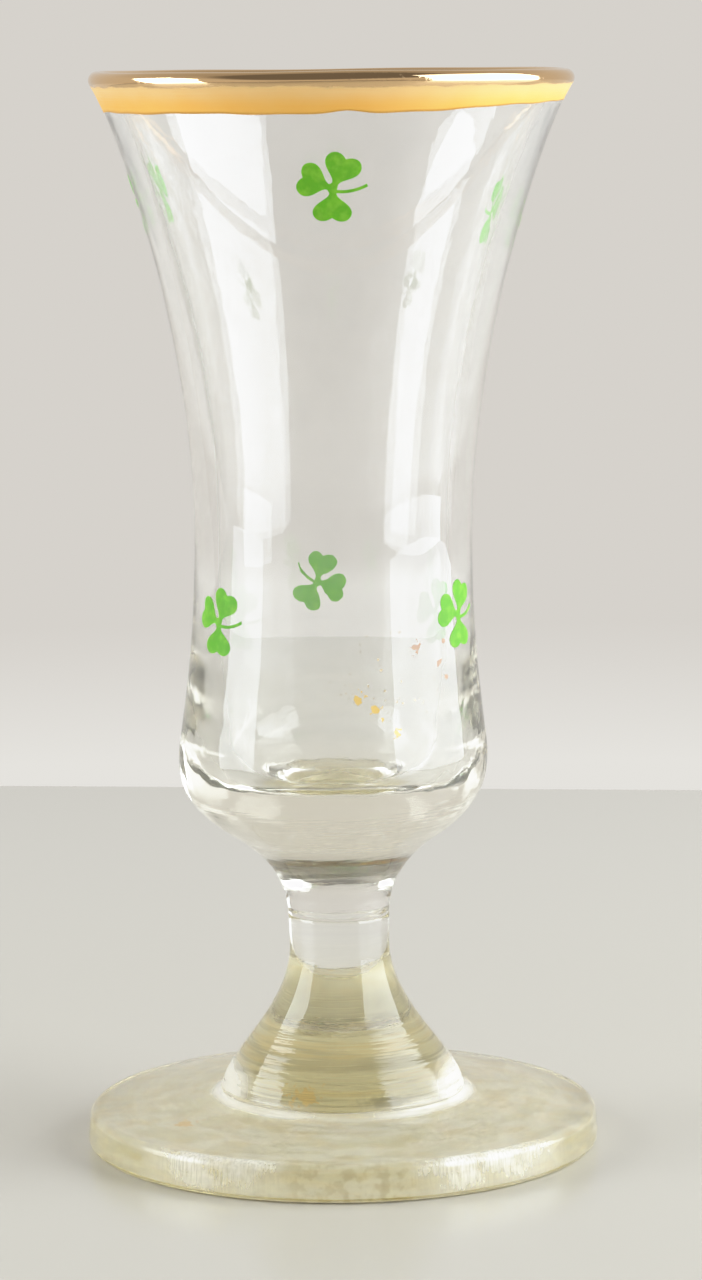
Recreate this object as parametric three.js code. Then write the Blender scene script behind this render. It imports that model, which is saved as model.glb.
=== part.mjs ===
// Footed shot glass: a flared bowl, a short stem and a round foot of fused clear glass,
// with a fired gold lip band and six fired enamel shamrocks.
// Millimetres, +Z up, origin at the centre of the foot's underside, front towards -Y.

import * as THREE from 'three';
import { TessellateModifier } from 'three/addons/modifiers/TessellateModifier.js';

// Driving dimensions
const HEIGHT = 101.45;
const LIP_RADIUS = 22.5;
const BEAD_RADIUS = 0.8;
const FOOT_RADIUS = 24.35;
const FOOT_EDGE_TOP = 3.6;
const FOOT_JOINT_HEIGHT = 5.2;
const FOOT_JOINT_RADIUS = 11.6;
const STEM_RADIUS = 4.8;
const STEM_WAIST_HEIGHT = 19.2;
const STEM_WAIST_RADIUS = 4.73;
const BOWL_JOINT_HEIGHT = 22;
const BELLY_HEIGHT = 37.5;
const BELLY_RADIUS = 14.6;
const WAIST_HEIGHT = 58;
const WAIST_RADIUS = 13.05;
const CAVITY_FLOOR = 35.1;
const CAVITY_RADIUS = 10.75;
const BEND_HEIGHT = 46.5;
const HEEL_HEIGHT = 40.5;
const HEEL_RADIUS = 10.25;
const GOLD_EDGE_HEIGHT = 97.75;
const GOLD_EDGE_RADIUS = 21.1;
const GOLD_LINING = 1.5;
const COATING_GAP = 0.05;
const COATING_THICKNESS = 0.1;
const SEGMENTS = 48;

// Shamrock outline, measured from its junction
const LEAF_LENGTH = 3.25;
const LEAF_HALF_WIDTH = 1.65;
const LEAF_NOTCH = 0.42;
const NECK_HALF_WIDTH = 0.3;
const NECK_START = 0.45;
const STALK_LENGTH = 3.1;
const STALK_RISE = 0.3;
const STALK_HALF_WIDTH = 0.14;
const DECAL_FACET = 1.5;

// Each leaf: its direction in degrees from the right, its length and its width as shares of full size
const LEAVES = [
  { direction: 67, length: 1, width: 0.97 },
  { direction: 159, length: 1, width: 0.92 },
  { direction: 268, length: 0.93, width: 1.08 },
];

// Each decal: its bearing round the bowl from the front, its junction's height and its tilt
const DECALS = [
  { name: 'shamrock_upper_front', bearing: 0.5, height: 91.1, tilt: 0 },
  { name: 'shamrock_upper_right', bearing: 101, height: 87.1, tilt: 0 },
  { name: 'shamrock_upper_left', bearing: -95, height: 89.3, tilt: 0 },
  { name: 'shamrock_lower_right', bearing: 61, height: 51.3, tilt: 5 },
  { name: 'shamrock_lower_left', bearing: -52.6, height: 50.9, tilt: 0 },
  { name: 'shamrock_lower_back', bearing: 188, height: 52, tilt: 38 },
];

const bowlGlass = { color: 0xeef0ea, roughness: 0.03, metalness: 0 };
const stemGlass = { color: 0xecede4, roughness: 0.04, metalness: 0 };
const footGlass = { color: 0xe4e0c4, roughness: 0.12, metalness: 0 };
const firedGold = { color: 0xf0b95a, roughness: 0.2, metalness: 1 };
const greenEnamel = { color: 0x6bb44b, roughness: 0.35, metalness: 0 };

const point = (radius, height) => new THREE.Vector2(radius, height);

function curve(start, startHandle, endHandle, end, pieces) {
  return new THREE.CubicBezierCurve(start, startHandle, endHandle, end).getPoints(pieces);
}

function arc(radius, height, size, fromDegrees, toDegrees, pieces) {
  const steps = Array.from({ length: pieces + 1 }, (_, i) => i / pieces);
  return steps.map((step) => {
    const angle = THREE.MathUtils.degToRad(THREE.MathUtils.lerp(fromDegrees, toDegrees, step));
    return point(radius + size * Math.cos(angle), height + size * Math.sin(angle));
  });
}

// Joins stretches of profile and drops the repeated point where two stretches meet
function joined(...stretches) {
  const profile = [];
  for (const next of stretches.flat()) {
    const last = profile.at(-1);
    if (!last || last.distanceTo(next) > 1e-6) profile.push(next);
  }
  return profile;
}

function mesh(name, geometry, finish) {
  const piece = new THREE.Mesh(geometry, new THREE.MeshStandardMaterial(finish));
  piece.name = name;
  return piece;
}

// Turns a profile of (radius, height) points about the vertical axis
function turned(name, profile, finish) {
  const geometry = new THREE.LatheGeometry(profile, SEGMENTS);
  geometry.rotateX(Math.PI / 2);
  return mesh(name, geometry, finish);
}

// Outside of the bowl from the fused joint at the stem up to the gold band's lower edge
function bowlOutside() {
  const stub = point(STEM_RADIUS, BOWL_JOINT_HEIGHT);
  const stubHandle = point(STEM_RADIUS, 25.6);
  const underside = point(9.45, 29.5);
  const undersideHandles = [point(7.3, 28.1), point(13.2, 31.9)];
  const belly = point(BELLY_RADIUS, BELLY_HEIGHT);
  const bellyHandles = [point(BELLY_RADIUS + 0.1, 34), point(BELLY_RADIUS, 39.2)];
  const waist = point(WAIST_RADIUS, WAIST_HEIGHT);
  const waistHandles = [point(WAIST_RADIUS, 46.5), point(WAIST_RADIUS, 75)];
  const goldEdge = point(GOLD_EDGE_RADIUS, GOLD_EDGE_HEIGHT);
  const flareHandle = point(18.4, 91.5);
  return joined(
    curve(stub, stubHandle, undersideHandles[0], underside, 5),
    curve(underside, undersideHandles[1], bellyHandles[0], belly, 6),
    curve(belly, bellyHandles[1], waistHandles[0], waist, 6),
    curve(waist, waistHandles[1], flareHandle, goldEdge, 11),
  );
}

// The lip from the gold band's lower edge, over the fire-polished bead, to the inside
function lip() {
  const beadRadius = LIP_RADIUS - BEAD_RADIUS;
  const bead = arc(beadRadius, HEIGHT - BEAD_RADIUS, BEAD_RADIUS, -25, 172, 6);
  const goldEdge = point(GOLD_EDGE_RADIUS, GOLD_EDGE_HEIGHT);
  const goldHandle = point(21.5, 98.65);
  const neckHandle = point(22.1, 99.85);
  const lining = point(beadRadius - BEAD_RADIUS - 0.25, HEIGHT - GOLD_LINING);
  return joined(curve(goldEdge, goldHandle, neckHandle, bead[0], 3), bead, [lining]);
}

// Inside of the bowl: down the flare and the straight wall, past a slight bend, round the heel to the floor
function bowlInside() {
  const lining = lip().at(-1);
  const liningHandle = point(18.1, 95);
  const wall = point(CAVITY_RADIUS, WAIST_HEIGHT + 2);
  const wallHandle = point(CAVITY_RADIUS, 78.5);
  const bend = point(CAVITY_RADIUS, BEND_HEIGHT);
  const heel = point(HEEL_RADIUS, HEEL_HEIGHT);
  const heelHandle = point(HEEL_RADIUS - 0.15, 36.4);
  const floor = point(5, CAVITY_FLOOR);
  const floorHandle = point(8.6, CAVITY_FLOOR);
  return joined(
    curve(lining, liningHandle, wallHandle, wall, 8),
    [bend],
    curve(heel, heelHandle, floorHandle, floor, 5),
    [point(0, CAVITY_FLOOR)],
  );
}

function bowl() {
  const base = point(0, BOWL_JOINT_HEIGHT);
  return turned('bowl', joined([base], bowlOutside(), lip(), bowlInside()), bowlGlass);
}

// Solid stem: a bell that narrows to a slight waist just under the bowl
function stem() {
  const foot = point(FOOT_JOINT_RADIUS, FOOT_JOINT_HEIGHT);
  const bellHandle = point(11, 8.9);
  const waist = point(STEM_WAIST_RADIUS, STEM_WAIST_HEIGHT);
  const waistHandle = point(STEM_WAIST_RADIUS, 13);
  const side = joined(curve(foot, bellHandle, waistHandle, waist, 8), [point(STEM_RADIUS, BOWL_JOINT_HEIGHT)]);
  return turned('stem', joined([point(0, FOOT_JOINT_HEIGHT)], side, [point(0, BOWL_JOINT_HEIGHT)]), stemGlass);
}

// Flat foot with a rounded rim, and a fillet that rises to the bell
function foot() {
  const seat = point(FOOT_JOINT_RADIUS, FOOT_JOINT_HEIGHT);
  const lowerRound = 0.8;
  const upperRound = 0.9;
  const draft = 0.15;
  const lowerEdge = arc(FOOT_RADIUS - lowerRound, lowerRound, lowerRound, -90, 0, 3);
  const upperEdge = arc(FOOT_RADIUS - draft - upperRound, FOOT_EDGE_TOP - upperRound, upperRound, 0, 90, 4);
  const fillet = curve(point(14.6, 4.5), point(12.9, 4.6), point(11.75, 4.75), seat, 4);
  const side = joined(lowerEdge, upperEdge, fillet);
  return turned('foot', joined([point(0, 0)], side, [point(0, FOOT_JOINT_HEIGHT)]), footGlass);
}

// Moves a chain of profile points off the glass, along the bisector at each point
function offset(chain, distance) {
  return chain.map((here, i) => {
    const before = chain[Math.max(i - 1, 0)];
    const after = chain[Math.min(i + 1, chain.length - 1)];
    const along = after.clone().sub(before).normalize();
    return point(here.x + distance * along.y, here.y - distance * along.x);
  });
}

function goldRim() {
  const glass = lip();
  const inner = offset(glass, COATING_GAP);
  const outer = offset(glass, COATING_GAP + COATING_THICKNESS);
  return turned('gold_rim', [...outer, ...inner.reverse(), outer[0]], firedGold);
}

// One heart-shaped leaf from its neck, round both lobes, back to its neck
function addLeaf(outline, leaf) {
  const turn = THREE.MathUtils.degToRad(leaf.direction);
  const place = (forward, side) => {
    const along = forward * leaf.length;
    const across = side * leaf.width;
    return [
      along * Math.cos(turn) - across * Math.sin(turn),
      along * Math.sin(turn) + across * Math.cos(turn),
    ];
  };
  const lobe = LEAF_LENGTH - 0.1;
  outline.lineTo(...place(NECK_START, -NECK_HALF_WIDTH));
  for (const side of [-1, 1]) {
    const widest = [2.1, side * LEAF_HALF_WIDTH];
    const tip = [lobe, side * 0.8];
    const notch = [LEAF_LENGTH - LEAF_NOTCH, 0];
    const neck = [NECK_START, side * NECK_HALF_WIDTH];
    const rise = [place(1, side * NECK_HALF_WIDTH), place(1.3, side * 1.4)];
    const shoulder = [place(2.7, side * 1.8), place(lobe + 0.05, side * 1.3)];
    const dip = [place(lobe, side * 0.4), place(LEAF_LENGTH - 0.3, side * 0.2)];
    if (side < 0) {
      outline.bezierCurveTo(...rise[0], ...rise[1], ...place(...widest));
      outline.bezierCurveTo(...shoulder[0], ...shoulder[1], ...place(...tip));
      outline.bezierCurveTo(...dip[0], ...dip[1], ...place(...notch));
    } else {
      outline.bezierCurveTo(...dip[1], ...dip[0], ...place(...tip));
      outline.bezierCurveTo(...shoulder[1], ...shoulder[0], ...place(...widest));
      outline.bezierCurveTo(...rise[1], ...rise[0], ...place(...neck));
    }
  }
}

// Three leaves round the junction, and a thin stalk that curls up to the right
function shamrockOutline() {
  const outline = new THREE.Shape();
  const upperRoot = [0.35, -0.1];
  const lowerRoot = [0.4, -0.4];
  outline.moveTo(...upperRoot);
  for (const leaf of LEAVES) addLeaf(outline, leaf);
  outline.lineTo(...lowerRoot);
  outline.quadraticCurveTo(1.8, -0.55, STALK_LENGTH, STALK_RISE - STALK_HALF_WIDTH);
  outline.lineTo(STALK_LENGTH - 0.1, STALK_RISE + STALK_HALF_WIDTH);
  outline.quadraticCurveTo(1.7, -0.25, ...upperRoot);
  return outline;
}

// Radius of the faceted bowl's outside at a height
function radiusAt(height, profile) {
  const upper = profile.findIndex((station) => station.y >= height);
  const low = profile[upper - 1];
  const high = profile[upper];
  return THREE.MathUtils.mapLinear(height, low.y, high.y, low.x, high.x);
}

// Wraps a flat shamrock onto the bowl as a thin shell of enamel
function shamrock(decal, profile) {
  const flat = new THREE.ExtrudeGeometry(shamrockOutline(), {
    depth: COATING_THICKNESS,
    bevelEnabled: false,
    curveSegments: 3,
  });
  flat.rotateZ(THREE.MathUtils.degToRad(decal.tilt));
  const geometry = new TessellateModifier(DECAL_FACET, 8).modify(flat);
  const bearing = THREE.MathUtils.degToRad(decal.bearing);
  const junctionRadius = radiusAt(decal.height, profile);
  const position = geometry.getAttribute('position');
  for (let i = 0; i < position.count; i += 1) {
    const height = decal.height + position.getY(i);
    const angle = bearing + position.getX(i) / junctionRadius;
    const radius = radiusAt(height, profile) + COATING_GAP + position.getZ(i);
    position.setXYZ(i, radius * Math.sin(angle), -radius * Math.cos(angle), height);
  }
  return mesh(decal.name, geometry, greenEnamel);
}

const group = new THREE.Group();
group.add(foot(), stem(), bowl(), goldRim());
const upperBowl = bowlOutside().filter((station) => station.y >= BELLY_HEIGHT);
for (const decal of DECALS) group.add(shamrock(decal, upperBowl));

export default group;
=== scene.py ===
"""Looks of the footed shot glass: fine glass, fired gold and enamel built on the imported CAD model."""
import math

import bmesh
import bpy
import numpy as np
from mathutils import Matrix, Vector


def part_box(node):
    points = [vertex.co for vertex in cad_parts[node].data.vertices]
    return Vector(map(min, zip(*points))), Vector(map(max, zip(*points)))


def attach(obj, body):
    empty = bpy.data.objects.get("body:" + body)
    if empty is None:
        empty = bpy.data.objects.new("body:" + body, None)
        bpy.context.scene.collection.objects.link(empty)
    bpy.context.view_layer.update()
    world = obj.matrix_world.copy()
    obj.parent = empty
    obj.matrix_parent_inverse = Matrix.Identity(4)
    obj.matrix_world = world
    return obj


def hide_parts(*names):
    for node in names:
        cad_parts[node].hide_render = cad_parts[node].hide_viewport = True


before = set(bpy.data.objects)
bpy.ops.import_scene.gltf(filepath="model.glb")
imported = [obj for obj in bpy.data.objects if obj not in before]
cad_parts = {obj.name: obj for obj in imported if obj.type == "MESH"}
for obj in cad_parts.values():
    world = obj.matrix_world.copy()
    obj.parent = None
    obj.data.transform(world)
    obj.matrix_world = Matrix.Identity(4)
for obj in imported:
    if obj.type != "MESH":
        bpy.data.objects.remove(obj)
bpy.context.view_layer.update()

MM = 0.001
WELD = 1e-7  # points closer than this are one point
ON_AXIS = 1e-9

# Sizes read from the CAD model
foot_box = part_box("foot")
stem_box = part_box("stem")
bowl_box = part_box("bowl")
FOOT_RADIUS = foot_box[1].x
FOOT_JOINT = foot_box[1].z
FOOT_JOINT_RADIUS = stem_box[1].x
BOWL_JOINT = bowl_box[0].z
LIP_TOP = bowl_box[1].z
LIP_RADIUS = bowl_box[1].x

# Sizes of the same outlines as the CAD model
FOOT_EDGE_TOP = 3.6 * MM
FOOT_LOWER_ROUND = 0.8 * MM
FOOT_UPPER_ROUND = 0.9 * MM
FOOT_UPPER_INSET = 1.05 * MM
STEM_RADIUS = 4.8 * MM
STEM_WAIST_RADIUS = 4.73 * MM
STEM_WAIST = 19.2 * MM
BELLY = 37.5 * MM
BELLY_RADIUS = 14.6 * MM
WAIST = 58 * MM
WAIST_RADIUS = 13.05 * MM
CAVITY_FLOOR = 35.1 * MM
CAVITY_RADIUS = 10.75 * MM
BEND = 46.5 * MM
HEEL = 40.5 * MM
HEEL_RADIUS = 10.25 * MM
BEAD_RADIUS = 0.8 * MM
BEAD_CENTRE = LIP_RADIUS - BEAD_RADIUS
GOLD_EDGE = 97.75 * MM
GOLD_EDGE_RADIUS = 21.1 * MM
GOLD_LINING = 1.5 * MM
LIP_RISE_PIECES = 10
SEAM_GROOVE = 0.04 * MM
SEAM_GAP = 0.01 * MM
FILM_GAP = 0.01 * MM
GOLD_THICKNESS = 0.02 * MM
ENAMEL_THICKNESS = 0.04 * MM
SEGMENTS = 192

# Handwork: how far the bowl stands off the axis by height, in millimetres, and how rim and gold wander
BOWL_LEAN = ((8, 0), (18, -0.17), (27, -0.3), (33, -0.68), (45, -0.52), (70, -0.35), (101, -0.22))
RIM_WAVE = 0.05 * MM
RIM_WAVE_START = 98.5 * MM
RIM_WAVE_REACH = 2.5 * MM
GOLD_CLIMB = ((-180, 0), (12, 0), (70, 0.8), (110, 0.6), (180, 0))  # bearing, rise in millimetres
GOLD_STEP = 0.2
GOLD_STEP_BEARING = 4
GOLD_STEP_WIDTH = 4
GOLD_WANDER_REACH = 1.2 * MM

# Colour that the glass itself keeps, and how strongly each piece takes the rest off, per metre
GLASS_IOR = 1.5
GLASS_TINT = (0.79, 0.70, 0.13)
BOWL_DENSITY = 8.0
STEM_DENSITY = 4.0
FOOT_DENSITY = 27.0

# Shamrock outline, measured from its junction
LEAF_LENGTH = 3.25 * MM
LEAF_HALF_WIDTH = 1.65 * MM
LEAVES = ((67, 1.0, 0.97), (159, 1.0, 0.92), (268, 0.93, 1.08))  # direction, length share, width share
STALK_LENGTH = 3.1 * MM
STALK_HALF_WIDTH = 0.14 * MM
DECAL_CELL = 0.3 * MM
DECAL_REACH = 4 * MM

# Bearing round the bowl from the front, junction height and tilt of each shamrock
DECALS = {
    "shamrock_upper_front": (0.5, 91.1 * MM, 0),
    "shamrock_upper_right": (101, 87.1 * MM, 0),
    "shamrock_upper_left": (-95, 89.3 * MM, 0),
    "shamrock_lower_right": (61, 51.3 * MM, 5),
    "shamrock_lower_left": (-52.6, 50.9 * MM, 0),
    "shamrock_lower_back": (188, 52 * MM, 38),
}

# Dried residue and stains, and one painted dark reflection in the bell: centre in millimetres and size
AMBER_SPOTS = (
    ((1.65, -13.66, 44.5), 0.6),
    ((3.3, -13.45, 43.5), 0.45),
    ((5.3, -13.05, 41.3), 0.4),
    ((-0.2, -14.0, 40.5), 0.25),
    ((3.9, -13.1, 42.3), 0.22),
)
RED_SPOTS = (
    ((7.0, -11.1, 48.9), 0.4),
    ((9.6, -8.7, 49.2), 0.3),
    ((9.35, -9.3, 47.3), 0.42),
    ((9.8, -8.8, 45.8), 0.3),
)
FOOT_STAIN = ((-14.8, -10.4, 4.1), 1.0)
BELL_SHOULDER = 12.7 * MM
BELL_STAIN = ((-3.5, -10.4, 6.6), 1.2)
# Painted dark reflection: a grey patch low on the bell's front, not a stain
BELL_PAINTED_DARK_PATCH = ((4.4, -10.5, 6.0), 2.1)
SPOT_GRAIN = 0.5 * MM
SCATTER_CENTRE = (5 * MM, -12 * MM, 45.5 * MM)
SCATTER_REACH = 8 * MM

# Depth of the relief that pressing left in the glass
FLUTE_DEPTH = 0.014 * MM
BASE_LINE_DEPTH = 0.05 * MM
BASE_RIPPLE_DEPTH = 0.06 * MM
SHAFT_LINE_DEPTH = 0.012 * MM
BELL_LINE_DEPTH = 0.1 * MM
FOOT_RIPPLE_DEPTH = 0.01 * MM
FOOT_SCRATCH_DEPTH = 0.006 * MM
GOLD_BRUSH_DEPTH = 0.004 * MM
ENAMEL_RELIEF_DEPTH = 0.006 * MM

# Where marks, wear and painted light fade in: none at the first place, full at the second
BASE_LINE_ZONE = (36 * MM, 31 * MM)
BASE_RIPPLE_ZONE = (46 * MM, 41 * MM)
BELL_ZONE = (13 * MM, 10.5 * MM)
# Painted shade band round the bell's shoulder
BELL_SHOULDER_SHADE_ZONE = (0.9 * MM, 0.2 * MM)
SKIRT_SIDE_ZONE = (7.8 * MM, 10.4 * MM)
SKIRT_TOP_ZONE = (9.5 * MM, 7 * MM)
SKIRT_RING_ZONE = (11.2 * MM, 11.8 * MM)
SKIRT_RING_ASIDE = (1 * MM, 7 * MM)
SKIRT_OUTER_ZONE = (13 * MM, 12 * MM)
SKIRT_BOTTOM = 4 * MM
LEFT_SCUFF = ((-19 * MM, -13 * MM), (-4 * MM, -9 * MM))
RIGHT_SCUFF = ((5 * MM, 10 * MM), (23 * MM, 12 * MM))
SCUFF_HEIGHTS = (0.4 * MM, 3 * MM)
FOOT_EDGE_ZONE = (FOOT_RADIUS - 1.3 * MM, FOOT_RADIUS - 0.6 * MM)
# Painted dark reflection along the middle of the foot's edge
FOOT_PAINTED_DARK_ZONE = (8 * MM, 4 * MM)
# Milkiest centre of the underside, partly a painted pool of light
FOOT_CENTRE_ZONE = (7 * MM, 12 * MM)
GOLD_BEAD_ZONE = (LIP_TOP - 1.15 * MM, LIP_TOP - 0.85 * MM)
# Painted highlight towards the top of the gold band
GOLD_PAINTED_HIGHLIGHT_ZONE = (GOLD_EDGE + 0.8 * MM, GOLD_EDGE + 2.6 * MM)

# Share of its clearness that worn glass loses, and how rough wear and the underside are
BELL_FROSTING = 0.7
SKIRT_FROSTING = 0.55
EDGE_FROSTING = 0.6
FROST_ROUGHNESS = 0.35
UNDERSIDE_ROUGHNESS = 0.4

# How enamel shines and lets light through
ENAMEL_ROUGHNESS = 0.5
ENAMEL_SHINE = 0.35
ENAMEL_SCATTER = (0.6, 1.0, 0.3)
ENAMEL_SCATTER_REACH = 0.3 * MM

# Colours
CLEAR = (1, 1, 1, 1)
AMBER_RESIDUE = (0.92, 0.62, 0.16, 1)
RED_RESIDUE = (0.46, 0.27, 0.15, 1)
# Painted into the bell: a grey for shade seen through it, and a gold for the foot's stained underside seen
# through it
PAINTED_SHADE_GREY = (0.60, 0.585, 0.56, 1)
PAINTED_REFRACTED_STAIN = (0.98, 0.86, 0.64, 1)
# Colour of the painted dark reflection in the bell
BELL_PAINTED_DARK_COLOUR = (0.40, 0.40, 0.42, 1)
BELL_STAIN_COLOUR = (0.95, 0.68, 0.35, 1)
FROST = (1, 0.97, 0.88, 1)
FOOT_CLEAR = (1, 0.985, 0.93, 1)
FOOT_MILKY = (1, 0.97, 0.83, 1)
FOOT_STAINED = (1, 0.91, 0.70, 1)
# Colour of the painted dark reflection on the foot's edge
FOOT_PAINTED_DARK_REFLECTION = (0.72, 0.67, 0.56, 1)
FOOT_STAIN_COLOUR = (1, 0.66, 0.30, 1)
GOLD_DEEP = (1.0, 0.53, 0.10, 1)
GOLD_WARM = (1.0, 0.60, 0.16, 1)
# Colour of the painted highlight on the band's upper part
GOLD_PAINTED_HIGHLIGHT = (1.0, 0.68, 0.30, 1)
GOLD_BEAD = (0.80, 0.55, 0.30, 1)
ENAMEL_FULL = (0.115, 0.38, 0.018, 1)
ENAMEL_THIN = (0.20, 0.48, 0.04, 1)

# Studio
CAMERA_DISTANCE = 405 * MM
CAMERA_HEIGHT = 104 * MM
CAMERA_SHIFT = 1.15 * MM
CAMERA_PITCH = 7.857
CAMERA_ROLL = 0.5
CAMERA_LENS = 121.94
CAMERA_SENSOR = 36
CAMERA_NEAR = 0.01
CAMERA_FAR = 20
TABLE_TOP = -0.05 * MM
TABLE_BACK_EDGE = 196.7 * MM
TABLE_SKEW = 0.087
TABLE_REACH = 1500 * MM
TABLE_COLOUR = (0.585, 0.555, 0.48)
TABLE_FAR_COLOUR = (0.64, 0.615, 0.55)
TABLE_ROUGHNESS = 0.2
SOFTBOX_DISTANCE = 400 * MM
SOFTBOX_STRENGTH = 6.2
SOFTBOX_BOTTOM = (0, 110 * MM)
SOFTBOX_TOP = (400 * MM, 600 * MM)
SOFTBOX_COLOUR = (0.87, 0.93, 1.0)
RIGHT_WINDOW = ((-270, 5), (250, 5), (250, 600), (-270, 600))  # corners in millimetres, sideways and up
RIGHT_WINDOW_BEARING = 81
LEFT_WINDOW = ((175, 5), (105, 305), (-75, 385), (-235, 290), (-120, 136), (-50, 5))
LEFT_WINDOW_BEARING = -82
WHITE_LEVEL = 2.5
SHOULDER = ((0.80, 0.80), (1.0, 0.93), (1.3, 0.985))  # light level, and how bright it is shown
DIM_ELEVATION = 55
DIM_INNER = 38
DIM_OUTER = 52
DIM_COLOUR = (0.19, 0.18, 0.175, 1)
SURROUNDINGS = (  # direction, from 0 straight down to 1 straight up, and the colour seen there
    (0.40, (0.76, 0.745, 0.71, 1)),
    (0.418, (0.784, 0.768, 0.730, 1)),
    (0.433, (0.672, 0.645, 0.604, 1)),
    (0.70, (0.672, 0.645, 0.604, 1)),
    (0.97, (0.42, 0.40, 0.37, 1)),
)
MOST_BOUNCES = 32


# ---------------------------------------------------------------- outlines

def bezier(start, start_handle, end_handle, end, pieces):
    """Points along a cubic curve, each (radius, height)."""
    share = np.linspace(0, 1, pieces + 1)[:, None]
    start = np.array(start, float)
    start_handle = np.array(start_handle, float)
    end_handle = np.array(end_handle, float)
    end = np.array(end, float)
    return ((1 - share) ** 3 * start + 3 * (1 - share) ** 2 * share * start_handle
            + 3 * (1 - share) * share ** 2 * end_handle + share ** 3 * end)


def arc(radius, height, size, from_degrees, to_degrees, pieces):
    """Points along an arc of a given size round a centre at (radius, height)."""
    angle = np.radians(np.linspace(from_degrees, to_degrees, pieces + 1))
    return np.column_stack([radius + size * np.cos(angle), height + size * np.sin(angle)])


def joined(*stretches):
    """Joins stretches of outline and drops the repeated point where two meet."""
    points = np.vstack([np.reshape(np.array(s, float), (-1, 2)) for s in stretches])
    apart = np.linalg.norm(np.diff(points, axis=0), axis=1) > WELD
    return points[np.concatenate([[True], apart])]


def bowl_outside():
    """From the fused seam, under the belly and round it, past the waist, up to the gold's lower edge."""
    underside = (9.45 * MM, 29.5 * MM)
    belly = (BELLY_RADIUS, BELLY)
    waist = (WAIST_RADIUS, WAIST)
    gold_edge = (GOLD_EDGE_RADIUS, GOLD_EDGE)
    stub = (STEM_RADIUS, BOWL_JOINT + SEAM_GROOVE)
    return joined(
        bezier(stub, (STEM_RADIUS, 25.6 * MM), (7.3 * MM, 28.1 * MM), underside, 22),
        bezier(underside, (13.2 * MM, 31.9 * MM), (BELLY_RADIUS + 0.1 * MM, 34 * MM), belly, 24),
        bezier(belly, (BELLY_RADIUS, 39.2 * MM), (WAIST_RADIUS, 46.5 * MM), waist, 28),
        bezier(waist, (WAIST_RADIUS, 75 * MM), (18.4 * MM, 91.5 * MM), gold_edge, 48),
    )


def lip():
    """The stretch that the gold covers: up the outside, over the bead and a little way down inside."""
    centre = LIP_TOP - BEAD_RADIUS
    bead = arc(BEAD_CENTRE, centre, BEAD_RADIUS, -25, 172, 22)
    lining = (BEAD_CENTRE - BEAD_RADIUS - 0.25 * MM, LIP_TOP - GOLD_LINING)
    gold_edge = (GOLD_EDGE_RADIUS, GOLD_EDGE)
    rise = bezier(gold_edge, (21.5 * MM, 98.65 * MM), (22.1 * MM, 99.85 * MM), bead[0], LIP_RISE_PIECES)
    fall = bezier(bead[-1], (20.87 * MM, 100.46 * MM), (20.76 * MM, 100.17 * MM), lining, 5)
    return joined(rise, bead, fall)


def bowl_inside():
    """From the gold lining down the wall, past a soft bend, round the heel and across the floor."""
    lining = lip()[-1]
    wall = (CAVITY_RADIUS, WAIST + 2 * MM)
    above_bend = (CAVITY_RADIUS, BEND + 1.2 * MM)
    taper = (CAVITY_RADIUS - HEEL_RADIUS) / (BEND - HEEL)
    below_bend = (CAVITY_RADIUS - 1.2 * MM * taper, BEND - 1.2 * MM)
    heel = (HEEL_RADIUS, HEEL)
    floor = (7.5 * MM, CAVITY_FLOOR + 0.15 * MM)
    return joined(
        bezier(lining, (18.1 * MM, 95 * MM), (CAVITY_RADIUS, 78.5 * MM), wall, 46),
        bezier(wall, (CAVITY_RADIUS, 55 * MM), (CAVITY_RADIUS, BEND + 3 * MM), above_bend, 10),
        bezier(above_bend, (CAVITY_RADIUS, BEND), (CAVITY_RADIUS, BEND), below_bend, 10),
        bezier(below_bend, (CAVITY_RADIUS - 2.4 * MM * taper, BEND - 2.4 * MM),
               (HEEL_RADIUS + MM * taper, HEEL + 1 * MM), heel, 10),
        bezier(heel, (HEEL_RADIUS - 0.15 * MM, 37.2 * MM), (9.4 * MM, 35.5 * MM), floor, 24),
        bezier(floor, (5 * MM, CAVITY_FLOOR), (2 * MM, CAVITY_FLOOR), (0, CAVITY_FLOOR), 12),
    )


def bowl_outline():
    """Up the outside of the bowl, over its lip and down to the middle of its cavity floor."""
    seam = BOWL_JOINT + SEAM_GAP
    base = [(0, seam), (STEM_RADIUS * 0.5, seam), (STEM_RADIUS - SEAM_GROOVE, seam)]
    return joined(base, bowl_outside(), lip(), bowl_inside())


def stem_outline():
    """From the foot up the bell and its shaft to the seam with the bowl."""
    top = BOWL_JOINT - SEAM_GAP
    low = FOOT_JOINT + SEAM_GAP
    bell_top = (STEM_WAIST_RADIUS, STEM_WAIST)
    bell_foot = (FOOT_JOINT_RADIUS, low)
    bell = bezier(bell_foot, (11 * MM, 8.9 * MM), (STEM_WAIST_RADIUS, 13 * MM), bell_top, 44)
    shaft = bezier(bell_top, (STEM_WAIST_RADIUS, 20 * MM), (STEM_RADIUS, 21 * MM),
                   (STEM_RADIUS, BOWL_JOINT - SEAM_GROOVE), 8)
    return joined([(0, low), (FOOT_JOINT_RADIUS * 0.5, low)], bell, shaft,
                  [(STEM_RADIUS - SEAM_GROOVE, top), (STEM_RADIUS * 0.5, top), (0, top)])


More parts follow.
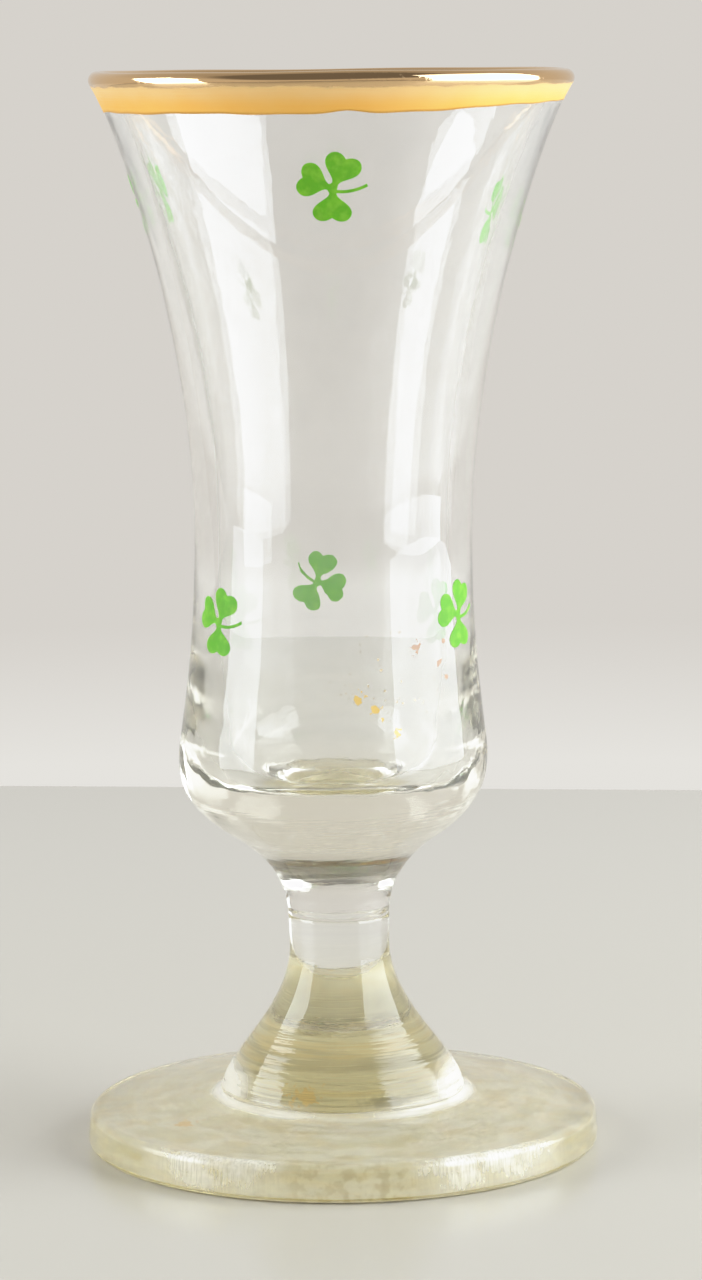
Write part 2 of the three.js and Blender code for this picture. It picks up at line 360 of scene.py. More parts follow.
def foot_outline():
    """Flat underside, rounded edge, gently rising top and the fillet that the bell is fused to."""
    seat = (FOOT_JOINT_RADIUS, FOOT_JOINT)
    lower_edge = arc(FOOT_RADIUS - FOOT_LOWER_ROUND, FOOT_LOWER_ROUND, FOOT_LOWER_ROUND, -90, 0, 10)
    upper_edge = arc(FOOT_RADIUS - FOOT_UPPER_INSET, FOOT_EDGE_TOP - FOOT_UPPER_ROUND, FOOT_UPPER_ROUND,
                     0, 90, 12)
    fillet_start = (14.6 * MM, 4.5 * MM)
    top = bezier(upper_edge[-1], (20 * MM, 4.0 * MM), (17 * MM, 4.25 * MM), fillet_start, 20)
    fillet = bezier(fillet_start, (12.9 * MM, 4.6 * MM), (11.75 * MM, 4.75 * MM), seat, 14)
    underside = [(radius, 0) for radius in np.linspace(0, lower_edge[0][0], 24)]
    seam = [(FOOT_JOINT_RADIUS * 0.5, FOOT_JOINT), (0, FOOT_JOINT)]
    return joined(underside, lower_edge, upper_edge, top, fillet, seam)


def radius_at(height):
    """Radius of the bowl's outside at a height above its belly."""
    outside = bowl_outside()
    above_belly = outside[outside[:, 1] >= BELLY]
    return np.interp(height, above_belly[:, 1], above_belly[:, 0])


def lean(height):
    """How far the glass stands off the axis at a height: the bowl was joined slightly beside the stem."""
    heights, offsets = np.array(BOWL_LEAN).T * MM
    return np.interp(height, heights, offsets)


def rim_wave(radius, height, angle):
    """The fire-polished rim is not quite level."""
    share = np.clip((height - RIM_WAVE_START) / RIM_WAVE_REACH, 0, 1)
    wave = np.sin(3 * angle + 1.0) + 0.5 * np.sin(7 * angle + 0.4)
    return np.full_like(angle, radius), height + RIM_WAVE * share * wave


def gold_wave(radius, height, angle):
    """The band's lower edge was brushed by hand: it climbs towards the right and wanders a little."""
    bearing = (np.degrees(angle) + 180) % 360 - 180
    climb = np.interp(bearing, *np.array(GOLD_CLIMB).T)
    step = GOLD_STEP * np.exp(-((bearing - GOLD_STEP_BEARING) / GOLD_STEP_WIDTH) ** 2)
    wander = 0.05 * np.sin(9 * angle + 0.7) + 0.03 * np.sin(23 * angle)
    near_edge = np.clip((GOLD_EDGE + GOLD_WANDER_REACH - height) / GOLD_WANDER_REACH, 0, 1)
    raised = height + (climb + step + wander) * MM * near_edge
    radii, heights = lip()[:LIP_RISE_PIECES + 2].T
    moved = radius + np.interp(raised, heights, radii) - np.interp(height, heights, radii)
    return moved, rim_wave(radius, raised, angle)[1]


# ---------------------------------------------------------------- meshes

def new_object(name, mesh):
    piece = bpy.data.objects.new(name, mesh)
    bpy.context.scene.collection.objects.link(piece)
    return piece


def turned(name, outline, looped=False, waver=None):
    """Turns an outline about the vertical axis into a closed mesh; waver shifts its rings a little."""
    on_axis = outline[:, 0] < ON_AXIS
    angle = np.arange(SEGMENTS) * 2 * math.pi / SEGMENTS
    points, rings = [], []
    for (radius, height), pole in zip(outline, on_axis):
        first = len(points)
        if pole:
            points.append((0, 0, height))
            rings.append([first] * SEGMENTS)
            continue
        moved_radius, moved_height = (radius, height) if waver is None else waver(radius, height, angle)
        ring = np.column_stack([moved_radius * np.sin(angle), -moved_radius * np.cos(angle),
                                np.broadcast_to(moved_height, angle.shape)])
        points.extend(map(tuple, ring))
        rings.append(list(range(first, first + SEGMENTS)))
    if looped:
        rings.append(rings[0])
    faces = []
    for low, high in zip(rings, rings[1:]):
        for i in range(SEGMENTS):
            j = (i + 1) % SEGMENTS
            corners = [low[i], low[j], high[j], high[i]]
            faces.append(tuple(dict.fromkeys(corners)))
    points = np.array(points)
    points[:, 0] += lean(points[:, 2])
    mesh = bpy.data.meshes.new(name)
    mesh.from_pydata(points.tolist(), [], faces)
    mesh.validate()
    mesh.shade_smooth()
    return new_object(name, mesh)


def facing_out(piece):
    """Makes every face of a piece look outwards."""
    work = bmesh.new()
    work.from_mesh(piece.data)
    bmesh.ops.recalc_face_normals(work, faces=work.faces)
    work.to_mesh(piece.data)
    work.free()


def leaf_outline(direction, length_share, width_share):
    """One heart-shaped leaf from its neck, round both lobes, back to its neck."""
    neck = (0.45 * MM, 0.3 * MM)
    widest = (2.1 * MM, LEAF_HALF_WIDTH)
    tip = (LEAF_LENGTH - 0.1 * MM, 0.8 * MM)
    notch = (LEAF_LENGTH - 0.42 * MM, 0)
    side = joined(
        bezier(neck, (1 * MM, 0.3 * MM), (1.3 * MM, 1.4 * MM), widest, 12),
        bezier(widest, (2.7 * MM, 1.8 * MM), (LEAF_LENGTH - 0.05 * MM, 1.3 * MM), tip, 12),
        bezier(tip, (LEAF_LENGTH - 0.1 * MM, 0.4 * MM), (LEAF_LENGTH - 0.3 * MM, 0.2 * MM), notch, 8),
    )
    flipped = side * (1, -1)
    leaf = np.vstack([flipped, side[-2::-1]]) * (length_share, width_share)
    turn = math.radians(direction)
    return leaf @ np.array([[math.cos(turn), math.sin(turn)], [-math.sin(turn), math.cos(turn)]])


def shamrock_outline():
    """Three leaves, then along the curled stalk and back."""
    stalk_tip = (STALK_LENGTH, 0.3 * MM)
    lower = bezier((0.4 * MM, -0.4 * MM), (1.3 * MM, -0.5 * MM), (2.2 * MM, -0.3 * MM),
                   (stalk_tip[0], stalk_tip[1] - STALK_HALF_WIDTH), 16)
    upper = bezier((stalk_tip[0] - 0.1 * MM, stalk_tip[1] + STALK_HALF_WIDTH), (2.2 * MM, -0.02 * MM),
                   (1.2 * MM, -0.22 * MM), (0.35 * MM, -0.1 * MM), 16)
    leaves = [leaf_outline(*leaf) for leaf in LEAVES]
    return joined(upper[-1:], *leaves, lower, upper[:-1])


def shamrock(name):
    """A thin closed shell of enamel, cut into small cells and wrapped onto the bowl's outside."""
    bearing, height, tilt = DECALS[name]
    work = bmesh.new()
    corners = [work.verts.new((x, y, 0)) for x, y in shamrock_outline()]
    edges = [work.edges.new(pair) for pair in zip(corners, corners[1:] + corners[:1])]
    bmesh.ops.triangle_fill(work, use_beauty=True, edges=edges)
    reach = int(DECAL_REACH / DECAL_CELL) + 1
    for axis in ((1, 0, 0), (0, 1, 0)):
        for step in range(-reach, reach + 1):
            cut = Vector(axis) * step * DECAL_CELL
            everything = list(work.verts) + list(work.edges) + list(work.faces)
            bmesh.ops.bisect_plane(work, geom=everything, dist=WELD, plane_co=cut, plane_no=axis)
    bmesh.ops.remove_doubles(work, verts=work.verts, dist=WELD)
    upper = bmesh.ops.extrude_face_region(work, geom=list(work.faces))["geom"]
    for item in upper:
        if isinstance(item, bmesh.types.BMVert):
            item.co.z = ENAMEL_THICKNESS
    turn = Matrix.Rotation(math.radians(tilt), 3, "Z")
    junction_radius = float(radius_at(height))
    for vertex in work.verts:
        flat = turn @ vertex.co
        up = height + flat.y
        angle = math.radians(bearing) + flat.x / junction_radius
        radius = float(radius_at(up)) + FILM_GAP + flat.z
        vertex.co = (radius * math.sin(angle) + float(lean(up)), -radius * math.cos(angle), up)
    bmesh.ops.recalc_face_normals(work, faces=work.faces)
    mesh = bpy.data.meshes.new(name)
    work.to_mesh(mesh)
    work.free()
    return new_object(name + "_enamel", mesh)


def offset(chain, distance):
    """Moves a chain of outline points off the glass."""
    before = np.vstack([chain[:1], chain[:-1]])
    after = np.vstack([chain[1:], chain[-1:]])
    along = after - before
    along /= np.linalg.norm(along, axis=1)[:, None]
    return chain + distance * np.column_stack([along[:, 1], -along[:, 0]])


def gold_outline():
    """A thin closed shell just off the lip."""
    glass = lip()
    outer = offset(glass, FILM_GAP + GOLD_THICKNESS)
    inner = offset(glass, FILM_GAP)
    return np.vstack([outer, inner[::-1]])


# ---------------------------------------------------------------- materials

def add(tree, kind, inputs=None, **settings):
    """Adds a node; an input is a plain value or the socket that feeds it."""
    made = tree.nodes.new(kind)
    for name, value in settings.items():
        setattr(made, name, value)
    for name, value in (inputs or {}).items():
        if isinstance(value, bpy.types.NodeSocket):
            tree.links.new(value, made.inputs[name])
        else:
            made.inputs[name].default_value = value
    return made


def maths(tree, operation, *values):
    """One step of arithmetic on values or sockets."""
    return add(tree, "ShaderNodeMath", dict(enumerate(values)), operation=operation).outputs[0]


def product(tree, first, *others):
    """Multiplies any number of values or sockets."""
    for other in others:
        first = maths(tree, "MULTIPLY", first, other)
    return first


def remap(tree, value, from_low, from_high, to_low, to_high):
    """Moves a value smoothly from one range to another, and holds it beyond the ends."""
    inputs = {"Value": value, "From Min": from_low, "From Max": from_high,
              "To Min": to_low, "To Max": to_high}
    return add(tree, "ShaderNodeMapRange", inputs, interpolation_type="SMOOTHSTEP").outputs[0]


def fade(tree, value, none, full):
    """0 at one value and beyond it, 1 at the other and beyond it, and a smooth change between the two."""
    return remap(tree, value, none, full, 0.0, 1.0)


def blend(tree, share, first, second):
    """A colour between two others, by share."""
    return add(tree, "ShaderNodeMix", {0: share, 6: first, 7: second}, data_type="RGBA").outputs[2]


def position(tree):
    """Position on the piece, and its x, y and z."""
    where = add(tree, "ShaderNodeTexCoord").outputs["Object"]
    split = add(tree, "ShaderNodeSeparateXYZ", {0: where})
    return where, split.outputs


def radius_of(tree, split):
    """Distance from the vertical axis."""
    return maths(tree, "SQRT", maths(tree, "ADD", maths(tree, "POWER", split["X"], 2.0),
                                     maths(tree, "POWER", split["Y"], 2.0)))


def shifted(tree, where, seed):
    """Moves a place by a fixed amount each way, so that two textures differ."""
    return add(tree, "ShaderNodeVectorMath", {0: where, 1: (seed,) * 3}, operation="ADD").outputs[0]


def grain(tree, where, cell, detail=2.0, seed=0.0):
    """Cloudy noise from 0 to 1: cell is its size, detail its fineness, and seed picks another pattern."""
    moved = shifted(tree, where, seed)
    noise = add(tree, "ShaderNodeTexNoise", {"Vector": moved, "Scale": 1 / cell, "Detail": detail})
    return noise.outputs["Fac"]


def turned_lines(tree, cell, per_turn):
    """Noise drawn out round the axis, as tool marks are: it changes fast across it and slowly round it."""
    _, split = position(tree)
    radius = radius_of(tree, split)
    around_x = maths(tree, "DIVIDE", split["X"], maths(tree, "MULTIPLY", radius, 1 / per_turn))
    around_y = maths(tree, "DIVIDE", split["Y"], maths(tree, "MULTIPLY", radius, 1 / per_turn))
    spread = add(tree, "ShaderNodeCombineXYZ",
                 {0: around_x, 1: around_y, 2: maths(tree, "MULTIPLY", split["Z"], 1 / cell)}).outputs[0]
    across = maths(tree, "MULTIPLY", radius, 1 / cell)
    return add(tree, "ShaderNodeTexNoise", {"Vector": spread, "W": across, "Scale": 1.0, "Detail": 2.0},
               noise_dimensions="4D").outputs["Fac"]


def drawn_lines(tree, where, cell, length):
    """Noise drawn out upwards, as the flutes that pressing leaves in a wall."""
    drawn = add(tree, "ShaderNodeVectorMath", {0: where, 1: (1 / cell, 1 / cell, 1 / length)},
                operation="MULTIPLY").outputs[0]
    return add(tree, "ShaderNodeTexNoise", {"Vector": drawn, "Scale": 1.0, "Detail": 2.0}).outputs["Fac"]


def bump(tree, height, depth):
    """Surface relief of a given depth in metres."""
    return add(tree, "ShaderNodeBump", {"Height": height, "Strength": 1.0, "Distance": depth}).outputs[0]


def layers(tree, *pairs):
    """Adds up (noise, depth) pairs into one relief."""
    total = 0.0
    for noise, depth in pairs:
        total = maths(tree, "ADD", total, maths(tree, "MULTIPLY", noise, depth / MM))
    return bump(tree, total, MM)


def spots(tree, where, places, stretch=(1, 1, 1), edge=0.7, raggedness=4.0):
    """Ragged spots, 1 inside and 0 outside; edge is the share of its size where a spot starts to fade."""
    usual, least = 1.1, 0.4
    noise = grain(tree, where, SPOT_GRAIN, 3.0)
    uneven = maths(tree, "MULTIPLY_ADD", noise, raggedness, usual - raggedness / 2)
    ragged = maths(tree, "MAXIMUM", uneven, least)
    found = 0.0
    for centre, size in places:
        apart = add(tree, "ShaderNodeVectorMath", {0: where, 1: tuple(Vector(centre) * MM)},
                    operation="SUBTRACT").outputs[0]
        apart = add(tree, "ShaderNodeVectorMath", {0: apart, 1: stretch}, operation="MULTIPLY").outputs[0]
        away = add(tree, "ShaderNodeVectorMath", {0: apart}, operation="LENGTH").outputs["Value"]
        inside = fade(tree, maths(tree, "MULTIPLY", away, ragged), size * MM, size * edge * MM)
        found = maths(tree, "MAXIMUM", found, inside)
    return found


def finish(material, shader, seams=(), density=0.0):
    """Joins a shader to the output, opens the fused seams and fills the piece with tinted glass."""
    tree = material.node_tree
    output = add(tree, "ShaderNodeOutputMaterial")
    surface = shader.outputs[0]
    if seams:
        opened = add(tree, "ShaderNodeBsdfTransparent").outputs[0]
        mixed = add(tree, "ShaderNodeMixShader", {0: seam_mask(tree, seams), 1: surface, 2: opened})
        surface = mixed.outputs[0]
    tree.links.new(surface, output.inputs["Surface"])
    if density:
        tinted = add(tree, "ShaderNodeVolumeAbsorption", {"Color": (*GLASS_TINT, 1), "Density": density})
        tree.links.new(tinted.outputs[0], output.inputs["Volume"])
    return material


def seam_mask(tree, heights):
    """1 on the flat faces where two glass pieces are fused, 0 elsewhere."""
    _, split = position(tree)
    normal = add(tree, "ShaderNodeNewGeometry").outputs["True Normal"]
    facing = add(tree, "ShaderNodeSeparateXYZ", {0: normal}).outputs["Z"]
    almost_level = 0.9999
    flat = maths(tree, "GREATER_THAN", maths(tree, "ABSOLUTE", facing), almost_level)
    near = 0.0
    for height in heights:
        near = maths(tree, "ADD", near, maths(tree, "COMPARE", split["Z"], height, 3 * SEAM_GAP))
    return maths(tree, "MULTIPLY", flat, near)


def new_material(name):
    """An empty material and its node tree."""
    material = bpy.data.materials.new(name)
    material.use_nodes = True
    material.node_tree.nodes.clear()
    return material, material.node_tree


def specks(tree, where, cell, seed, rarity):
    """Small sharp-edged residue specks scattered round one place on the glass."""
    cells = add(tree, "ShaderNodeTexVoronoi", {"Vector": shifted(tree, where, seed), "Scale": 1 / cell})
    uneven = maths(tree, "MULTIPLY", grain(tree, where, cell / 3), 0.5)
    ragged = maths(tree, "ADD", cells.outputs["Distance"], uneven)
    apart = add(tree, "ShaderNodeVectorMath", {0: where, 1: SCATTER_CENTRE}, operation="DISTANCE")
    near = fade(tree, apart.outputs["Value"], SCATTER_REACH, SCATTER_REACH * 0.3)
    patchy = fade(tree, grain(tree, where, cell * 2.5, seed=seed), rarity, rarity + 0.08)
    return product(tree, near, patchy, fade(tree, ragged, 0.44, 0.38))


def bowl_material():
    """Clear pressed glass: faint flutes, ripples in its thick base, dried haze and specks of residue."""
    material, tree = new_material("clear_bowl_glass")
    where, split = position(tree)
    in_base = fade(tree, split["Z"], *BASE_LINE_ZONE)
    near_base = fade(tree, split["Z"], *BASE_RIPPLE_ZONE)
    relief = layers(
        tree,
        (maths(tree, "MULTIPLY", turned_lines(tree, 0.5 * MM, 1.5), in_base), BASE_LINE_DEPTH),
        (maths(tree, "MULTIPLY", grain(tree, where, 2.6 * MM, 1.0), near_base), BASE_RIPPLE_DEPTH),
        (drawn_lines(tree, where, 1.7 * MM, 24 * MM), FLUTE_DEPTH),
    )
    scattered = specks(tree, where, 0.8 * MM, 0.013, 0.5)
    drops = spots(tree, where, AMBER_SPOTS)
    amber = maths(tree, "MAXIMUM", drops, maths(tree, "MULTIPLY", scattered, 0.6))
    red = spots(tree, where, RED_SPOTS)
    colour = blend(tree, amber, CLEAR, AMBER_RESIDUE)
    colour = blend(tree, red, colour, RED_RESIDUE)
    haze = remap(tree, grain(tree, where, 4 * MM, 4.0, 0.5), 0.35, 0.75, 0.025, 0.055)
    amber_cover = maths(tree, "MULTIPLY", amber, 0.6)
    red_cover = maths(tree, "MULTIPLY", red, 0.7)
    residue = maths(tree, "MAXIMUM", amber_cover, red_cover)
    clear = maths(tree, "SUBTRACT", 1.0, maths(tree, "MAXIMUM", haze, residue))
    shader = add(tree, "ShaderNodeBsdfPrincipled", {
        "Base Color": colour, "Roughness": 0.0, "IOR": GLASS_IOR,
        "Transmission Weight": clear, "Normal": relief})
    return finish(material, shader, [BOWL_JOINT], BOWL_DENSITY)


def skirt_frost(tree, split):
    """Wear that frosts the skirt round the bell: its two sides, and a ring where it meets the foot."""
    radius = radius_of(tree, split)
    aside = maths(tree, "ABSOLUTE", split["X"])
    sides = product(tree, fade(tree, aside, *SKIRT_SIDE_ZONE), fade(tree, split["Z"], *SKIRT_TOP_ZONE))
    ring = product(tree, fade(tree, radius, *SKIRT_RING_ZONE),
                   remap(tree, aside, *SKIRT_RING_ASIDE, 0.12, 0.9))
    fall = fade(tree, radius, *SKIRT_OUTER_ZONE)
    streaks = remap(tree, turned_lines(tree, 0.5 * MM, 2.5), 0.3, 0.6, 0.7, 1.0)
    above = maths(tree, "GREATER_THAN", split["Z"], SKIRT_BOTTOM)
    return product(tree, maths(tree, "MAXIMUM", sides, ring), fall, streaks, above)


def edge_frost(tree, where, split, on_edge):
    """Two scuffed stretches of the foot's front edge, heaviest along its upper corner."""
    left, right = (product(tree, fade(tree, split["X"], *start), fade(tree, split["X"], *end))
                   for start, end in (LEFT_SCUFF, RIGHT_SCUFF))
    streaks = remap(tree, drawn_lines(tree, where, 0.22 * MM, 3 * MM), 0.3, 0.65, 0.45, 1.0)
    blotches = remap(tree, grain(tree, where, 2 * MM, 3.0, 0.35), 0.35, 0.6, 0.5, 1.0)
    upper = remap(tree, split["Z"], *SCUFF_HEIGHTS, 0.3, 1.0)
    front = maths(tree, "LESS_THAN", split["Y"], 0.0)
    return product(tree, maths(tree, "ADD", left, right), streaks, front, on_edge, blotches, upper)


def stem_material():
    """Clear glass with pressing lines in its bell, painted shade, dark reflection and refracted streaks
    there, frosted round its skirt.
    """
    material, tree = new_material("clear_stem_glass")
    where, split = position(tree)
    lines = turned_lines(tree, 0.45 * MM, 1.2)
    in_bell = fade(tree, split["Z"], *BELL_ZONE)
    relief = layers(tree, (lines, SHAFT_LINE_DEPTH),
                    (maths(tree, "MULTIPLY", lines, in_bell), BELL_LINE_DEPTH))
    # Painted refraction: dark streaks stand in for shade seen through the bell, and gold ones for the
    # foot's stained underside seen through it
    fine_lines = turned_lines(tree, 0.55 * MM, 0.7)
    broad_lines = turned_lines(tree, 0.9 * MM, 0.6)
    grey = maths(tree, "MULTIPLY", fade(tree, fine_lines, 0.47, 0.57), in_bell)
    golden = maths(tree, "MULTIPLY", fade(tree, broad_lines, 0.5, 0.35), in_bell)
    # Painted shade: a dark, broken band round the bell at its shoulder, in the same grey as the painted
    # streaks
    off_shoulder = maths(tree, "ABSOLUTE", maths(tree, "SUBTRACT", split["Z"], BELL_SHOULDER))
    shoulder = product(tree, fade(tree, off_shoulder, *BELL_SHOULDER_SHADE_ZONE),
                       remap(tree, grain(tree, where, 2 * MM), 0.3, 0.6, 0.3, 1.0))
    colour = blend(tree, maths(tree, "MAXIMUM", grey, shoulder), CLEAR, PAINTED_SHADE_GREY)
    colour = blend(tree, maths(tree, "MULTIPLY", golden, 0.7), colour, PAINTED_REFRACTED_STAIN)
    # Painted dark reflection: a grey, streaked patch low on the bell's front
    shade = product(tree, spots(tree, where, [BELL_PAINTED_DARK_PATCH], (0.5, 0.5, 2.2), edge=0.25, raggedness=1.5),
                    remap(tree, turned_lines(tree, 0.3 * MM, 1.5), 0.4, 0.55, 0.45, 1.0))
    colour = blend(tree, shade, colour, BELL_PAINTED_DARK_COLOUR)
    colour = blend(tree, spots(tree, where, [BELL_STAIN], (0.8, 0.8, 1.6)), colour, BELL_STAIN_COLOUR)
    frost = skirt_frost(tree, split)
    colour = blend(tree, frost, colour, FROST)
    clear = maths(tree, "MULTIPLY_ADD", frost, -BELL_FROSTING, 1.0)
    rough = maths(tree, "MULTIPLY", frost, FROST_ROUGHNESS)
    shader = add(tree, "ShaderNodeBsdfPrincipled", {
        "Base Color": colour, "Roughness": rough, "IOR": GLASS_IOR,
        "Transmission Weight": clear, "Normal": relief})
    return finish(material, shader, [BOWL_JOINT, FOOT_JOINT], STEM_DENSITY)


def foot_material():
    """Cloudy pressed glass: satin skin, scuffed edge that catches the light, a painted dark reflection
    mid-edge, milky stained underside.
    """
    material, tree = new_material("cloudy_foot_glass")
    where, split = position(tree)
    radius = radius_of(tree, split)
    below = maths(tree, "LESS_THAN", split["Z"], 0.1 * MM)
    on_edge = fade(tree, radius, *FOOT_EDGE_ZONE)
    skin = remap(tree, grain(tree, where, 3.5 * MM, 2.0, 0.4), 0.3, 0.7, 0.1, 0.2)
    rough = maths(tree, "MAXIMUM", skin, maths(tree, "MULTIPLY", below, UNDERSIDE_ROUGHNESS))
    stained = fade(tree, grain(tree, where, 3.2 * MM, 2.0, 0.7), 0.4, 0.7)
    colour = blend(tree, below, FOOT_CLEAR, blend(tree, stained, FOOT_MILKY, FOOT_STAINED))
    # Painted dark reflection: a dark, mottled colour along the middle stretch of the edge
    aside = maths(tree, "ABSOLUTE", maths(tree, "SUBTRACT", split["X"], MM))
    near_middle = fade(tree, aside, *FOOT_PAINTED_DARK_ZONE)
    mottled = fade(tree, grain(tree, where, 1.1 * MM, 4.0, 0.6), 0.46, 0.6)
    colour = blend(tree, product(tree, on_edge, near_middle, mottled), colour, FOOT_PAINTED_DARK_REFLECTION)
    colour = blend(tree, spots(tree, where, [FOOT_STAIN]), colour, FOOT_STAIN_COLOUR)
    scratches = maths(tree, "MULTIPLY", drawn_lines(tree, where, 0.3 * MM, 5 * MM), on_edge)
    relief = layers(tree, (grain(tree, where, 1.2 * MM, 2.0), FOOT_RIPPLE_DEPTH),
                    (scratches, FOOT_SCRATCH_DEPTH))
    swirls = turned_lines(tree, 0.9 * MM, 4.0)
    cloudy = maths(tree, "ADD", grain(tree, where, 3 * MM, 3.0, 0.2), swirls)
    clear = remap(tree, cloudy, 0.75, 1.25, 0.84, 0.97)
    clear = maths(tree, "MULTIPLY_ADD", skirt_frost(tree, split), -SKIRT_FROSTING, clear)
    clear = maths(tree, "MULTIPLY_ADD", edge_frost(tree, where, split, on_edge), -EDGE_FROSTING, clear)
    # Milky residue on the underside, milkiest at the centre; this also stands in for the light that the
    # glass gathers under itself, a painted pool of light
    underside = remap(tree, radius, *FOOT_CENTRE_ZONE, 0.04, 0.28)
    through = add(tree, "ShaderNodeMix", {0: below, 2: clear, 3: underside}).outputs[0]
    shader = add(tree, "ShaderNodeBsdfPrincipled", {
        "Base Color": colour, "Roughness": rough, "IOR": GLASS_IOR,
        "Transmission Weight": through, "Normal": relief})
    return finish(material, shader, [FOOT_JOINT], FOOT_DENSITY)


def gold_material():
    """Fired gold: satin brushed band with a painted highlight towards its top, mirror-bright but worn
    bead.
    """
    material, tree = new_material("fired_gold")
    where, split = position(tree)
    wandering = maths(tree, "MULTIPLY_ADD", grain(tree, where, 3 * MM), 0.6 * MM, split["Z"])
    on_bead = fade(tree, wandering, *GOLD_BEAD_ZONE)
    # Painted highlight: the band is paler towards its top, just below the bead
    high = fade(tree, wandering, *GOLD_PAINTED_HIGHLIGHT_ZONE)
    worn = fade(tree, grain(tree, where, 0.35 * MM, 3.0), 0.5, 0.68)
    patches = remap(tree, grain(tree, where, 6 * MM, 2.0, 0.3), 0.4, 0.6, 0.2, 1.0)
    worn = maths(tree, "MULTIPLY", worn, patches)
    brushed = turned_lines(tree, 0.12 * MM, 2.0)
    satin = remap(tree, brushed, 0.3, 0.7, 0.5, 0.62)
    bright = remap(tree, worn, 0.0, 1.0, 0.05, 0.2)
    rough = add(tree, "ShaderNodeMix", {0: on_bead, 2: satin, 3: bright}).outputs[0]
    tone = blend(tree, grain(tree, where, 4 * MM, 2.0, 0.9), GOLD_DEEP, GOLD_WARM)
    tone = blend(tree, high, tone, GOLD_PAINTED_HIGHLIGHT)
    tone = blend(tree, on_bead, tone, GOLD_BEAD)
    metal = remap(tree, on_bead, 0.0, 1.0, 0.55, 1.0)
    relief = bump(tree, maths(tree, "ADD", brushed, maths(tree, "MULTIPLY", worn, 0.5)), GOLD_BRUSH_DEPTH)
    shader = add(tree, "ShaderNodeBsdfPrincipled", {
        "Base Color": tone, "Metallic": metal, "Roughness": rough, "Normal": relief})
    return finish(material, shader)


def enamel_material():
    """Translucent screen-printed enamel, thinner in places, that glows when lit from behind."""
    material, tree = new_material("green_enamel")
    where, _ = position(tree)
    thin = fade(tree, grain(tree, where, 0.9 * MM, 3.0), 0.4, 0.75)
    tone = blend(tree, thin, ENAMEL_FULL, ENAMEL_THIN)
    relief = bump(tree, grain(tree, where, 0.25 * MM, 2.0), ENAMEL_RELIEF_DEPTH)
    shader = add(tree, "ShaderNodeBsdfPrincipled", {
        "Base Color": tone, "Roughness": ENAMEL_ROUGHNESS, "Specular IOR Level": ENAMEL_SHINE,
        "Normal": relief, "Subsurface Weight": 1.0, "Subsurface Radius": ENAMEL_SCATTER,
        "Subsurface Scale": ENAMEL_SCATTER_REACH})
    return finish(material, shader)


def table_material():
    """Pale satin laminate, a little paler towards its far edge."""
    material, tree = new_material("pale_table")
    _, split = position(tree)
    far = fade(tree, split["Y"], 0, TABLE_BACK_EDGE)
    tone = blend(tree, far, (*TABLE_COLOUR, 1), (*TABLE_FAR_COLOUR, 1))
    shader = add(tree, "ShaderNodeBsdfPrincipled", {"Base Color": tone, "Roughness": TABLE_ROUGHNESS})
    return finish(material, shader)


# ---------------------------------------------------------------- studio

def build_world():
    """Pale all round, brighter just above the table's far edge, and dim high behind the camera."""
    world = bpy.data.worlds.new("studio")
    bpy.context.scene.world = world
    world.use_nodes = True
    tree = world.node_tree
    tree.nodes.clear()
    direction = add(tree, "ShaderNodeTexCoord").outputs["Generated"]
    upward = add(tree, "ShaderNodeSeparateXYZ", {0: direction}).outputs["Z"]
    ramp = add(tree, "ShaderNodeValToRGB", {0: maths(tree, "MULTIPLY_ADD", upward, 0.5, 0.5)})
    stops = ramp.color_ramp.elements
    stops.remove(stops[1])
    stops[0].position, stops[0].color = SURROUNDINGS[0]
    for level, colour in SURROUNDINGS[1:]:
        stops.new(level).color = colour
    rise = math.radians(DIM_ELEVATION)
    dim_middle = (0, -math.cos(rise), math.sin(rise))
    towards = add(tree, "ShaderNodeVectorMath", {0: direction, 1: dim_middle}, operation="DOT_PRODUCT")
    outer, inner = (math.cos(math.radians(angle)) for angle in (DIM_OUTER, DIM_INNER))
    inside = fade(tree, towards.outputs["Value"], outer, inner)
    light = blend(tree, inside, ramp.outputs[0], DIM_COLOUR)
    background = add(tree, "ShaderNodeBackground", {0: light})
    add(tree, "ShaderNodeOutputWorld", {0: background.outputs[0]})


def softbox(name, bearing, corners):
    """A glowing panel at a bearing from the glass, dimmer towards its bottom and top."""
    angle = math.radians(bearing)
    out = Vector((math.sin(angle), -math.cos(angle), 0)) * SOFTBOX_DISTANCE
    sideways = Vector((math.cos(angle), math.sin(angle), 0))
    points = [out + sideways * x * MM + Vector((0, 0, up * MM)) for x, up in corners]
    mesh = bpy.data.meshes.new(name)
    mesh.from_pydata(points, [], [tuple(range(len(points)))])
    panel = new_object(name, mesh)
    material, tree = new_material(name)
    _, split = position(tree)
    low = remap(tree, split["Z"], *SOFTBOX_BOTTOM, 0.6, 1.0)
    high = remap(tree, split["Z"], *SOFTBOX_TOP, 1.0, 0.4)
    strength = product(tree, low, high, SOFTBOX_STRENGTH)
    glow = add(tree, "ShaderNodeEmission", {"Color": (*SOFTBOX_COLOUR, 1), "Strength": strength})
    panel.data.materials.append(finish(material, glow))
    panel.visible_camera = False


def build_softboxes():
    softbox("right_softbox", RIGHT_WINDOW_BEARING, RIGHT_WINDOW)
    softbox("left_softbox", LEFT_WINDOW_BEARING, LEFT_WINDOW)


def build_table():
    mesh = bpy.data.meshes.new("table")
    skew = TABLE_SKEW * TABLE_REACH
    corners = [
        (-TABLE_REACH, -TABLE_REACH, TABLE_TOP),
        (TABLE_REACH, -TABLE_REACH, TABLE_TOP),
        (TABLE_REACH, TABLE_BACK_EDGE - skew, TABLE_TOP),
        (-TABLE_REACH, TABLE_BACK_EDGE + skew, TABLE_TOP),
    ]
    mesh.from_pydata(corners, [], [(0, 1, 2, 3)])
    table = new_object("table", mesh)
    table.data.materials.append(table_material())


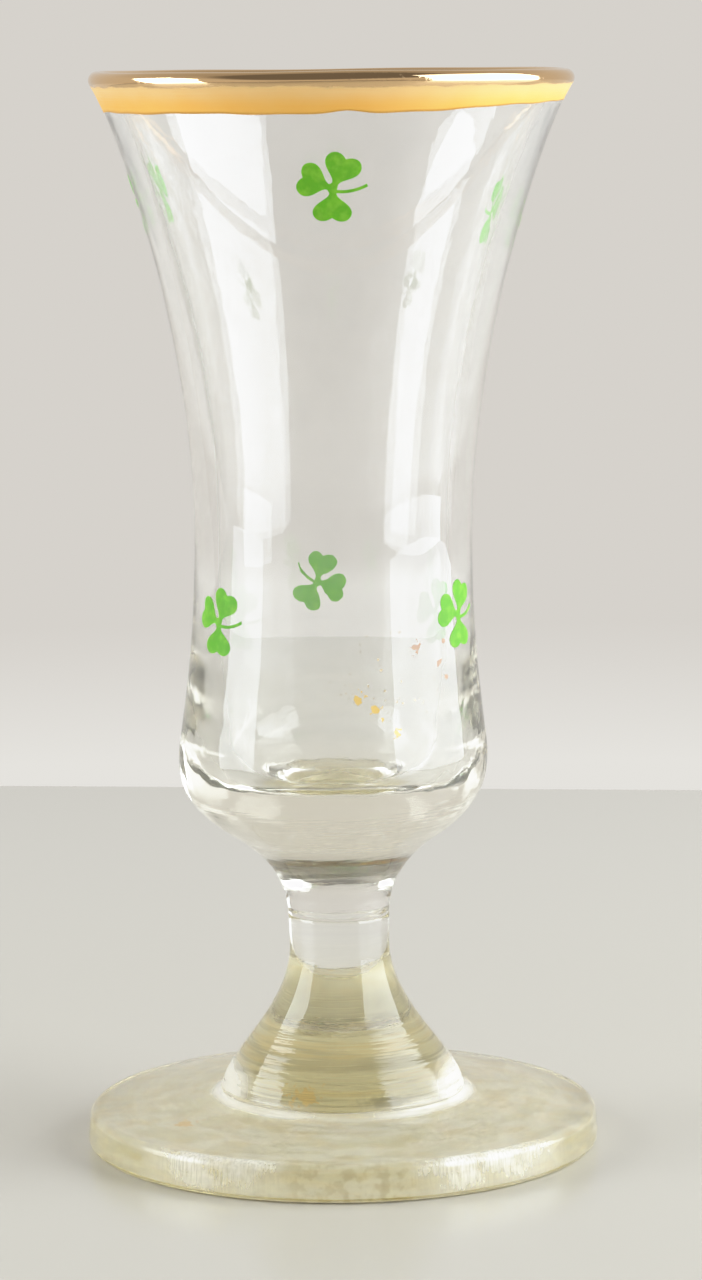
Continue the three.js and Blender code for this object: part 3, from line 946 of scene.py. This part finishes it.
def build_camera():
    data = bpy.data.cameras.new("camera")
    data.lens = CAMERA_LENS
    data.sensor_width = CAMERA_SENSOR
    data.clip_start = CAMERA_NEAR
    data.clip_end = CAMERA_FAR
    camera = bpy.data.objects.new("camera", data)
    bpy.context.scene.collection.objects.link(camera)
    camera.location = (CAMERA_SHIFT, -CAMERA_DISTANCE, CAMERA_HEIGHT)
    pitch = Matrix.Rotation(math.radians(90 - CAMERA_PITCH), 3, "X")
    roll = Matrix.Rotation(math.radians(-CAMERA_ROLL), 3, "Z")
    camera.rotation_euler = (pitch @ roll).to_euler()
    bpy.context.scene.camera = camera


# ---------------------------------------------------------------- assembly

def place(piece, node, material):
    """Gives a piece its material and lets it stand for a CAD node."""
    piece.data.materials.append(material)
    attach(piece, "root")
    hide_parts(node)


def build_glass():
    bowl = turned("bowl_glass", bowl_outline(), waver=rim_wave)
    stem = turned("stem_glass", stem_outline())
    foot = turned("foot_glass", foot_outline())
    for piece in (bowl, stem, foot):
        facing_out(piece)
    place(bowl, "bowl", bowl_material())
    place(stem, "stem", stem_material())
    place(foot, "foot", foot_material())


def build_coatings():
    gold = turned("gold_lip_band", gold_outline(), looped=True, waver=gold_wave)
    facing_out(gold)
    place(gold, "gold_rim", gold_material())
    enamel = enamel_material()
    for node in DECALS:
        place(shamrock(node), node, enamel)


def set_light_paths():
    """Lets light pass through every wall of the glass."""
    cycles = bpy.context.scene.cycles
    cycles.max_bounces = MOST_BOUNCES
    cycles.transmission_bounces = MOST_BOUNCES
    cycles.transparent_max_bounces = MOST_BOUNCES
    cycles.glossy_bounces = MOST_BOUNCES // 2
    cycles.diffuse_bounces = MOST_BOUNCES // 4


def set_tones():
    """Keeps the middle tones as they are and rolls the whites off gently, as a camera does."""
    view = bpy.context.scene.view_settings
    view.view_transform = "Standard"
    view.use_curve_mapping = True
    view.curve_mapping.white_level = (WHITE_LEVEL,) * 3
    curve = view.curve_mapping.curves[3]
    for level, shown in SHOULDER:
        curve.points.new(level / WHITE_LEVEL, shown)
    for point in list(curve.points)[:2]:
        point.handle_type = "VECTOR"
    view.curve_mapping.update()


build_world()
build_table()
build_glass()
build_coatings()
build_softboxes()
build_camera()
set_light_paths()
set_tones()
